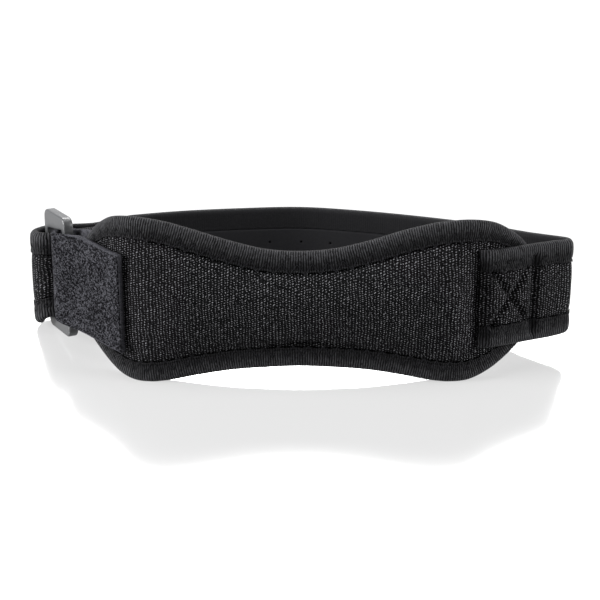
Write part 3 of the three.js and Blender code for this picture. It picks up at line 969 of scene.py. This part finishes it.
def pile_material(name, finishes):
    """Short napped pile that lies every way."""
    shader = Shader(name)
    nap = shader.noise(1100.0, 3.0, 0.75)
    tips = shader.noise(2400.0, 2.0, 0.7)
    cloud = shader.noise(160.0)
    _, v = shader.pattern(1.0, 1.0)
    # Painted highlight: the hem along the tab's edges is painted light.
    flat = ((v * v) ** 0.5).step(*PILE_HEM) * PILE_HEM_HIGHLIGHT
    tufts = (nap - 0.5) * PILE_NAP + (tips - 0.5) * PILE_TIPS + (cloud - 0.5) * PILE_CLOUD + PILE_GROUND
    tone = (tufts * (1.0 - flat) + flat).clamped()
    colour = shader.blend(tone, finishes.pile_shade, finishes.pile_light)
    normal = shader.bump(nap + tips * 0.7, 0.4 * MM)
    return shader.finish(colour, 0.8, normal, Specular_IOR_Level=0.02)


# Dark and light parts against the colours that are named above, and how rough and bright they are
PLASTIC_DARK = 0.85
PLASTIC_LIGHT = 1.15
PLASTIC_ROUGHNESS = 0.34
PLASTIC_MATT = 0.12
THREAD_LIGHT = 2.2
FLOOR_DARK = 0.985
FLOOR_GLOW = 0.58
FLOOR_ROUGHNESS = 0.12
FLOOR_IOR = 2.2


def plastic_material(name, finishes):
    """Moulded plastic with a fine matt grain."""
    shader = Shader(name)
    grain = shader.noise(2600.0)
    cloud = shader.noise(90.0)
    low, high = (tinted(finishes.plastic, factor) for factor in (PLASTIC_DARK, PLASTIC_LIGHT))
    colour = shader.blend(cloud, low, high)
    normal = shader.bump(grain, 0.02 * MM)
    roughness = grain * PLASTIC_MATT + PLASTIC_ROUGHNESS
    return shader.finish(colour, roughness, normal, Specular_IOR_Level=0.4)


def thread_material(name, finishes):
    """Twisted sewing thread."""
    shader = Shader(name)
    strand = shader.noise(3000.0, 1.0)
    colour = shader.blend(strand, finishes.thread, tinted(finishes.thread, THREAD_LIGHT))
    return shader.finish(colour, 0.6, shader.bump(strand, 0.05 * MM), Specular_IOR_Level=0.03)


def floor_material(name, finishes):
    """Smooth pale table top that is lit from below."""
    shader = Shader(name)
    cloud = shader.noise(3.0)
    colour = shader.blend(cloud, tinted(finishes.floor, FLOOR_DARK), finishes.floor)
    return shader.finish(
        colour, FLOOR_ROUGHNESS, None, IOR=FLOOR_IOR, Specular_IOR_Level=0.5,
        Emission_Color=(1.0, 1.0, 1.0, 1.0), Emission_Strength=FLOOR_GLOW,
    )


MAKERS = {
    "knit": knit_material,
    "lining": lining_material,
    "tape": tape_material,
    "pile": pile_material,
    "plastic": plastic_material,
    "thread": thread_material,
    "floor": floor_material,
}


def material(kind):
    """The strap's material of that kind, made when it is first asked for."""
    name = "strap_" + kind
    return bpy.data.materials.get(name) or MAKERS[kind](name, bpy.context.scene.strap_finishes)


PAD_COLUMNS = 56
PAD_BACK_COLUMNS = 24
# How far the knit lies below the tape, and the unevenness of the padding
PAD_DIP = 0.0001
PAD_WAVES = 0.00022
PAD_WAVE_SCALE = (90, 130)
PAD_WAVE_LAYER = 4.0


class STRAP_OT_front_pad(bpy.types.Operator):
    """Make the padded front pad."""

    bl_idname = "strap.front_pad"
    bl_label = "Front Pad"

    def execute(self, context):
        plan = Plan(context.scene.strap_sizes)
        sizes, outline = plan.sizes, plan.outline
        half, skip = len(outline) // 2, plan.outline_skip
        tongue = sizes.pad_edge / 2 - sizes.tape_wall - GAP
        face = sizes.pad_edge / 2

        def inset(edge, distance):
            return Vector((edge.s, edge.z)) + edge.inward * distance

        def ring(i):
            """Points of the section at a station: place on the surface, and how far in front."""
            top, bottom = outline[i + skip], outline[-(i + skip)]
            rim = sizes.tape_wall + GAP
            low, high = inset(bottom, bottom.tape + GAP), inset(top, top.tape + GAP)
            outer_low, outer_high = inset(bottom, rim), inset(top, rim)
            points = [(outer_low, tongue), (low, tongue)]
            for k in range(PAD_COLUMNS + 1):
                share = 0.5 - 0.5 * math.cos(math.pi * k / PAD_COLUMNS)
                at = low.lerp(high, lerp(share, k / PAD_COLUMNS, 0.5))
                place = (2 * at.y - high.y - low.y) / max(high.y - low.y, WELD)
                stand = face - PAD_DIP + plan.bulge(at.x, place)
                where = (at.x * PAD_WAVE_SCALE[0], at.y * PAD_WAVE_SCALE[1], PAD_WAVE_LAYER)
                wave = noise.noise(where) * PAD_WAVES * (1 - place**4)
                points.append((at, stand + wave - pressed_in(PAD_CREASES, at.x, at.y)))
            points += [(high, tongue), (outer_high, tongue), (outer_high, -tongue), (high, -tongue)]
            for k in range(PAD_BACK_COLUMNS + 1):
                points.append((high.lerp(low, k / PAD_BACK_COLUMNS), -face))
            points += [(low, -tongue), (outer_low, -tongue)]
            return points

        rings = [ring(i) for i in range(half - 2 * skip + 1)]
        count = len(rings[0])

        def place(i, j):
            at, front = rings[i][j % count]
            p, _ = plan.pad(at.x, front)
            return Vector((p.x, p.y, at.y))

        def measure(i, j):
            at, front = rings[i][j % count]
            return at.x, at.y + (INNER_SIDE if front < 0 else 0.0)

        bm = sheet_mesh(len(rings) - 1, count, place, measure)
        line_inside(bm)
        looks = ["knit", "lining"]
        piece = finished(bm, "front_pad_knit", plan.place, looks, ["front_pad"])
        return {"FINISHED"}


class STRAP_OT_pad_binding(bpy.types.Operator):
    """Make the tape round the pad, and the zigzag that sews it on."""

    bl_idname = "strap.pad_binding"
    bl_label = "Pad Binding"

    def execute(self, context):
        plan = Plan(context.scene.strap_sizes)
        sizes = plan.sizes
        face = sizes.pad_edge / 2
        beats = round(plan.outline_run / STITCH_PITCH)
        stretch = beats * STITCH_PITCH / plan.outline_run
        edges = [edge._replace(run=edge.run * stretch) for edge in plan.outline]
        edges.append(edges[0]._replace(run=beats * STITCH_PITCH))
        table = Table([(e.run, e.s, e.z, *e.inward, e.tape) for e in edges])

        def on_pad(edge, across, inwards, lift):
            at = Vector((edge.s, edge.z)) + edge.inward * inwards
            share = min(inwards / face, 1.0)
            p, _ = plan.pad(at.x, across + math.copysign(lift, across) * share)
            return Vector((p.x, p.y, at.y))

        runs, widths = [e.run for e in edges], [e.tape for e in edges]
        bm = tape_mesh(edges, runs, widths, sizes.pad_edge, sizes.tape_wall, on_pad)
        finished(bm, "pad_binding_tape", plan.place, ["tape"], ["pad_binding"])

        stitches = []
        for side in (1, -1):

            def surface(run, share, lift, side=side):
                s, z, in_s, in_z, tape = table.at(run)
                edge = Edge(run, s, z, Vector((in_s, in_z)), tape)
                inwards = share * scalloped(run, tape)
                stand, flat = lift, face
                if share <= 1:
                    stand += tape_relief(run, inwards, tape)
                elif side > 0:
                    at = Vector((s, z)) + edge.inward * inwards
                    flat = plan.front_at(at.x, at.y) - PAD_DIP
                return on_pad(edge, side * flat, inwards, stand)

            stitches += zigzag(surface, beats)
        threads("pad_stitching", plan, stitches)
        return {"FINISHED"}


BAND_CROWN = 0.00045
BAND_COLUMNS = 26
# The holes of the band's inner face, and how many of their spacings stay free at either end
HOLE_SPACING = 0.0125
HOLE_ROWS = 0.0045
HOLE_RADIUS = 0.0005
HOLE_DEPTH = 0.0012
HOLE_RIM = 0.00012
HOLE_TAPER = 0.00006
HOLE_FREE = 4


def crown(up, shoulder):
    """How far the band's knit stands out between its tapes."""
    return BAND_CROWN * (1 - (up / shoulder) ** 4)


class STRAP_OT_band(bpy.types.Operator):
    """Make the band that goes round the back of the knee."""

    bl_idname = "strap.band"
    bl_label = "Band"

    def execute(self, context):
        plan = Plan(context.scene.strap_sizes)
        sizes = plan.sizes
        thick = sizes.strap_thickness / 2
        thin = thick - sizes.tape_wall - GAP

        def section(station):
            shoulder = station.half - sizes.strap_tape - GAP
            tip = station.half - sizes.tape_wall - GAP
            outer = [lerp(-shoulder, shoulder, k / BAND_COLUMNS) for k in range(BAND_COLUMNS + 1)]
            rows = [(thin, -tip), (thin, -shoulder)]
            rows += [(thick + crown(up, shoulder) - PAD_DIP, up) for up in outer]
            rows += [(thin, shoulder), (thin, tip), (-thin, tip), (-thin, shoulder)]
            rows += [(-thick, up) for up in reversed(outer)]
            return rows + [(-thin, -shoulder), (-thin, -tip)]

        def sewn(station, across, up):
            return squeezed(across, thick, lap_pressed(station.s, up))

        bm = strip_mesh(plan.strap, section, sewn)
        line_inside(bm)
        self.perforate(bm, plan.strap.length)
        finished(bm, "band_knit", plan.place, ["knit", "lining"], ["strap_band"])
        return {"FINISHED"}

    def perforate(self, bm, length):
        """Presses the small round holes into the band's inner face."""
        pattern = bm.loops.layers.uv[PATTERN]
        corners = {}
        for vert in bm.verts:
            if all(face.material_index == LINED and len(face.verts) == 4 for face in vert.link_faces):
                s, up = vert.link_loops[0][pattern].uv
                corners.setdefault((round(s / FINE), round((up - INNER_SIDE) / FINE)), vert)
        count = int(length / HOLE_SPACING)
        for k in range(HOLE_FREE, count - HOLE_FREE):
            for row in (-1, 0, 1):
                s = (k + (0.5 if row else 0.0)) * HOLE_SPACING
                cell = (round(s / FINE), round(row * HOLE_ROWS / FINE))
                near = [corners.get((cell[0] + a, cell[1] + b)) for a in (0, 1, -1) for b in (0, 1, -1)]
                centre = next((vert for vert in near if vert), None)
                if centre:
                    self.punch(bm, centre)

    @staticmethod
    def punch(bm, centre):
        """One hole: the faces round a corner are drawn in to a circle and pushed down."""
        faces = list(centre.link_faces)
        bmesh.ops.inset_region(bm, faces=faces, thickness=HOLE_RIM, use_even_offset=True)
        rim = {vert for face in faces for vert in face.verts} - {centre}
        for vert in rim:
            vert.co = centre.co + (vert.co - centre.co).normalized() * HOLE_RADIUS
        bmesh.ops.inset_region(
            bm, faces=faces, thickness=HOLE_TAPER, depth=-HOLE_DEPTH, use_even_offset=True
        )


# How much of the tape's puffs shows on the band's inner face
INNER_RELIEF = 0.12


class STRAP_OT_band_bindings(bpy.types.Operator):
    """Make the tapes on the band's two edges, and the zigzags that sew them on."""

    bl_idname = "strap.band_bindings"
    bl_label = "Band Bindings"

    def execute(self, context):
        plan = Plan(context.scene.strap_sizes)
        sizes, strap = plan.sizes, plan.strap
        thick = sizes.strap_thickness / 2
        beats = int(strap.length / STITCH_PITCH)
        stretch = beats * STITCH_PITCH / strap.length
        runs = [station.s * stretch for station in strap.stations]
        widths = [sizes.strap_tape] * len(runs)
        stitches = []
        for side, name in ((1, "upper"), (-1, "lower")):

            def on_band(station, across, inwards, lift, side=side):
                puffed = math.copysign(lift, across) * (1.0 if across > 0 else INNER_RELIEF)
                out = across + puffed * min(inwards / thick, 1.0)
                up = side * (station.half - inwards)
                return off(station, squeezed(out, thick, lap_pressed(station.s, up)), up)

            def surface(run, share, lift, on_band=on_band):
                inwards = share * scalloped(run, sizes.strap_tape)
                stand = tape_relief(run, inwards, sizes.strap_tape) if share <= 1 else -PAD_DIP
                return on_band(strap.at(run / stretch), thick, inwards, stand + lift)

            bm = tape_mesh(strap.stations, runs, widths, sizes.strap_thickness, sizes.tape_wall, on_band)
            nodes = ["strap_binding_" + name]
            finished(bm, "band_tape_" + name, plan.place, ["tape"], nodes)
            stitches += zigzag(surface, beats)
        threads("band_stitching", plan, stitches)
        return {"FINISHED"}


BOX_STITCH = 0.0026
# The share of each stitch that its needle holes take up at either end
BOX_STITCH_END = 0.08
BOX_LINES = (
    (3.2, -13.0, 3.2, 13.0),
    (21.3, -14.0, 21.3, 12.6),
    *(crease[:4] for crease in BOX_CREASES[1:]),
)


class STRAP_OT_box_stitching(bpy.types.Operator):
    """Make the box and cross that sew the band to the pad."""

    bl_idname = "strap.box_stitching"
    bl_label = "Box Stitching"

    def execute(self, context):
        plan = Plan(context.scene.strap_sizes)
        sizes = plan.sizes
        thick = sizes.strap_thickness / 2

        def surface(s, z, lift):
            station = plan.strap.at(s)
            inwards = station.half - abs(z)
            stand = thick
            if inwards < sizes.strap_tape:
                stand += tape_relief(s, inwards, sizes.strap_tape)
            else:
                stand += crown(z, station.half - sizes.strap_tape) - PAD_DIP
            return off(station, squeezed(stand, thick, lap_pressed(s, z)) + lift, z)

        runs = []
        for s0, z0, s1, z1 in BOX_LINES:
            count = round(math.dist((s0, z0), (s1, z1)) * MM / BOX_STITCH)
            for k in range(count):
                shares = ((k + BOX_STITCH_END) / count, (k + 1 - BOX_STITCH_END) / count)
                ends = [(lerp(s0, s1, share) * MM, lerp(z0, z1, share) * MM) for share in shares]
                runs.append(stitch(surface, *ends))
        threads("box_stitching", plan, runs)
        return {"FINISHED"}


TAB_COLUMNS = 44
TAB_HEM = 0.0014
TAB_GROOVE = 0.0003
TAB_GROOVE_WIDTH = 0.0005
TAB_STITCH = 0.0024
# Where each stitch of the hem starts and ends, as shares of a stitch
TAB_STITCH_SPAN = (0.1, 0.86)
TAB_WAVES = 0.00025
TAB_WAVE_SCALE = (70, 60)
TAB_WAVE_LAYER = 9.0
TAB_CALM = 0.003
# The tab's rounded edge, as a share of its thickness, and the cut's shares of that
TAB_CORNER = 0.3
TAB_CUT_ACROSS = 0.4
TAB_CUT_UP = 0.25


def tab_relief(s, up, half):
    """How far the tab's outer face stands out from its flat shape."""
    from_edge = half - abs(up)
    groove = TAB_GROOVE * math.exp(-(((from_edge - TAB_HEM) / TAB_GROOVE_WIDTH) ** 2))
    wave = noise.noise((s * TAB_WAVE_SCALE[0], up * TAB_WAVE_SCALE[1], TAB_WAVE_LAYER)) * TAB_WAVES
    return wave * min(from_edge / TAB_CALM, 1.0) - groove - pressed_in(TAB_CREASES, s, up)


class STRAP_OT_tab(bpy.types.Operator):
    """Make the tab that passes through the ring and closes on the pad."""

    bl_idname = "strap.tab"
    bl_label = "Fastening Tab"

    def execute(self, context):
        plan = Plan(context.scene.strap_sizes)
        tab, thickness = plan.tab, plan.sizes.tab_thickness
        thick, corner = thickness / 2, TAB_CORNER * thickness

        def section(station):
            flat = station.half - corner
            ups = [lerp(-flat, flat, k / TAB_COLUMNS) for k in range(TAB_COLUMNS + 1)]
            cut, high = thick - TAB_CUT_ACROSS * corner, station.half - TAB_CUT_UP * corner
            rows = [(thick, up) for up in ups] + [(cut, high), (0.0, station.half), (-cut, high)]
            rows += [(-thick, up) for up in reversed(ups)]
            return rows + [(-cut, -high), (0.0, -station.half), (cut, -high)]

        def napped(station, across, up):
            if across < thick:
                return across
            return across + tab_relief(station.s, up, station.half)

        def surface(s, side, lift):
            station = tab.at(s)
            up = side * (station.half - TAB_HEM)
            return off(station, thick + tab_relief(s, up, station.half) + lift, up)

        bm = strip_mesh(tab, section, napped)
        finished(bm, "tab_pile", plan.place, ["pile"], ["hook_tab"])
        runs = []
        for side in (1, -1):
            for k in range(int(tab.length / TAB_STITCH)):
                start, end = ((k + share) * TAB_STITCH for share in TAB_STITCH_SPAN)
                runs.append(stitch(surface, (start, side), (end, side)))
        threads("tab_stitching", plan, runs)
        return {"FINISHED"}


RING_SEGMENTS = 6
RING_EDGE_SEGMENTS = 3
RING_SHARP = math.radians(60)
RING_CREASED = math.radians(50)
# How much deeper the upper short bar is where it meets the far bar
RING_BROW = 0.0022


class STRAP_OT_ring(bpy.types.Operator):
    """Make the moulded ring."""

    bl_idname = "strap.ring"
    bl_label = "Ring"

    def execute(self, context):
        plan = Plan(context.scene.strap_sizes)
        sizes = plan.sizes

        def upright(edge):
            return abs(edge.verts[0].co.y - edge.verts[1].co.y) > sizes.ring_thickness / 2

        bm = bmesh.new()
        bm.loops.layers.uv.new(PATTERN)
        shape = Matrix.Diagonal((sizes.ring_depth, sizes.ring_thickness, sizes.ring_height, 1.0))
        bmesh.ops.create_cube(bm, size=1.0, matrix=shape)
        broad = [face for face in bm.faces if abs(face.normal.y) > 0.5]
        uprights = [edge for edge in bm.edges if upright(edge)]
        bmesh.ops.inset_individual(bm, faces=broad, thickness=sizes.ring_side_bar, depth=0.0)
        inner = {vert for face in broad for vert in face.verts}
        high = sizes.ring_height / 2 - sizes.ring_end_bar
        for vert in inner:
            vert.co.z = math.copysign(high, vert.co.z)
            if vert.co.x > 0 and vert.co.z > 0:
                vert.co.z -= RING_BROW
        window = [edge for face in broad for edge in face.edges]
        bmesh.ops.delete(bm, geom=broad, context="FACES_ONLY")
        bmesh.ops.bridge_loops(bm, edges=window)
        inner_uprights = [edge for edge in bm.edges if upright(edge) and edge not in uprights]
        rounded(bm, uprights, sizes.ring_corner, RING_SEGMENTS)
        rounded(bm, inner_uprights, sizes.ring_window, RING_SEGMENTS // 2)
        bmesh.ops.recalc_face_normals(bm, faces=bm.faces)
        sharp = [edge for edge in bm.edges if edge.calc_face_angle(0.0) > RING_SHARP]
        rounded(bm, sharp, sizes.ring_bevel, RING_EDGE_SEGMENTS)
        turn = Matrix.Rotation(RING_TURN, 4, "Z")
        shift = Matrix.Translation((*plan.ring_centre, RING_LIFT))
        place = plan.place @ shift @ turn
        piece = finished(bm, "ring_moulding", place, ["plastic"], ["buckle_ring"])
        piece.data.set_sharp_from_angle(angle=RING_CREASED)
        return {"FINISHED"}


CAMERA_ELEVATION = math.radians(18)
CAMERA_DISTANCE = 0.5
CAMERA_TARGET = (0.0, -0.001, 0.0)
CAMERA_LENS = 85.98
CAMERA_SENSOR = 36.0
CAMERA_CLIP = (0.01, 20.0)
FLOOR_SIZE = 6.0
WALL_HEIGHT = 3.0
WALL_BEND = 1.2
WALL_SEGMENTS = 12

# Soft lights: place and aim in metres, side lengths, power in watts
Lamp = namedtuple("Lamp", "name place aim width height power")
AT_STRAP = (0.0, 0.0, 0.03)
LAMPS = (
    Lamp("key_left", (-1.05, -0.16, 0.38), AT_STRAP, 0.3, 0.5, 28.0),
    Lamp("key_right", (1.05, -0.14, 0.38), AT_STRAP, 0.3, 0.5, 15.0),
    Lamp("top", (0.0, 0.16, 1.1), AT_STRAP, 1.2, 0.4, 8.0),
    Lamp("rim", (0.0, 0.9, 0.8), AT_STRAP, 1.0, 0.3, 26.0),
    Lamp("backdrop", (0.0, 1.4, 0.9), (0.0, 3.0, 0.6), 2.0, 1.0, 40.0),
)
SKY = 0.3


class STRAP_OT_stage(bpy.types.Operator):
    """Make the floor, the lights and the camera."""

    bl_idname = "strap.stage"
    bl_label = "Stage"

    def execute(self, context):
        scene = context.scene
        plan = Plan(scene.strap_sizes)
        bm = bmesh.new()
        bmesh.ops.create_grid(bm, x_segments=1, y_segments=1, size=FLOOR_SIZE / 2)
        back = [edge for edge in bm.edges if all(vert.co.y > 0 for vert in edge.verts)]
        wall = bmesh.ops.extrude_edge_only(bm, edges=back)["geom"]
        raised = [item for item in wall if isinstance(item, bmesh.types.BMVert)]
        bmesh.ops.translate(bm, verts=raised, vec=(0.0, 0.0, WALL_HEIGHT))
        foot = [e for e in bm.edges if all(v.co.y > 0 and v.co.z < WALL_HEIGHT / 2 for v in e.verts)]
        rounded(bm, foot, WALL_BEND, WALL_SEGMENTS)
        floor = shown(bm, "floor", ["floor"])

        middle = plan.place @ Vector(CAMERA_TARGET)
        for lamp in LAMPS:
            light = bpy.data.lights.new(lamp.name, "AREA")
            light.shape = "RECTANGLE"
            light.size, light.size_y = lamp.width, lamp.height
            light.energy = lamp.power
            holder = bpy.data.objects.new(lamp.name, light)
            holder.location = lamp.place
            way = Vector(lamp.aim) - Vector(lamp.place)
            holder.rotation_euler = way.to_track_quat("-Z", "Y").to_euler()
            scene.collection.objects.link(holder)

        world = bpy.data.worlds.new("studio")
        world.use_nodes = True
        sky = world.node_tree.nodes["Background"]
        sky.inputs[0].default_value = (1.0, 1.0, 1.0, 1.0)
        sky.inputs[1].default_value = SKY
        scene.world = world
        scene.view_settings.view_transform = "Standard"

        back_out = Vector((0.0, -math.cos(CAMERA_ELEVATION), math.sin(CAMERA_ELEVATION)))
        eye = plan.place @ (Vector(CAMERA_TARGET) + back_out * CAMERA_DISTANCE)
        data = bpy.data.cameras.new("camera")
        data.lens, data.sensor_width = CAMERA_LENS, CAMERA_SENSOR
        data.clip_start, data.clip_end = CAMERA_CLIP
        camera = bpy.data.objects.new("camera", data)
        camera.location = eye
        camera.rotation_euler = (middle - eye).to_track_quat("-Z", "Y").to_euler()
        scene.collection.objects.link(camera)
        scene.camera = camera
        return {"FINISHED"}


STEPS = (
    STRAP_OT_stage,
    STRAP_OT_front_pad,
    STRAP_OT_pad_binding,
    STRAP_OT_band,
    STRAP_OT_band_bindings,
    STRAP_OT_box_stitching,
    STRAP_OT_tab,
    STRAP_OT_ring,
)


class STRAP_PT_panel(bpy.types.Panel):
    """Lists the steps that make the strap, and its sizes and colours."""

    bl_idname = "STRAP_PT_panel"
    bl_label = "Patella Strap"
    bl_space_type = "VIEW_3D"
    bl_region_type = "UI"
    bl_category = "Patella Strap"

    def draw(self, context):
        for step in STEPS:
            self.layout.operator(step.bl_idname)
        for group in (context.scene.strap_sizes, context.scene.strap_finishes):
            for name in group.__annotations__:
                self.layout.prop(group, name)


CLASSES = (StrapSizes, StrapFinishes, *STEPS, STRAP_PT_panel)


def register():
    for made in CLASSES:
        bpy.utils.register_class(made)
    bpy.types.Scene.strap_sizes = PointerProperty(type=StrapSizes)
    bpy.types.Scene.strap_finishes = PointerProperty(type=StrapFinishes)


def unregister():
    del bpy.types.Scene.strap_finishes
    del bpy.types.Scene.strap_sizes
    for made in reversed(CLASSES):
        bpy.utils.unregister_class(made)


def main():
    register()
    for step in STEPS:
        group, name = step.bl_idname.split(".")
        getattr(getattr(bpy.ops, group), name)()


if __name__ == "__main__":
    main()
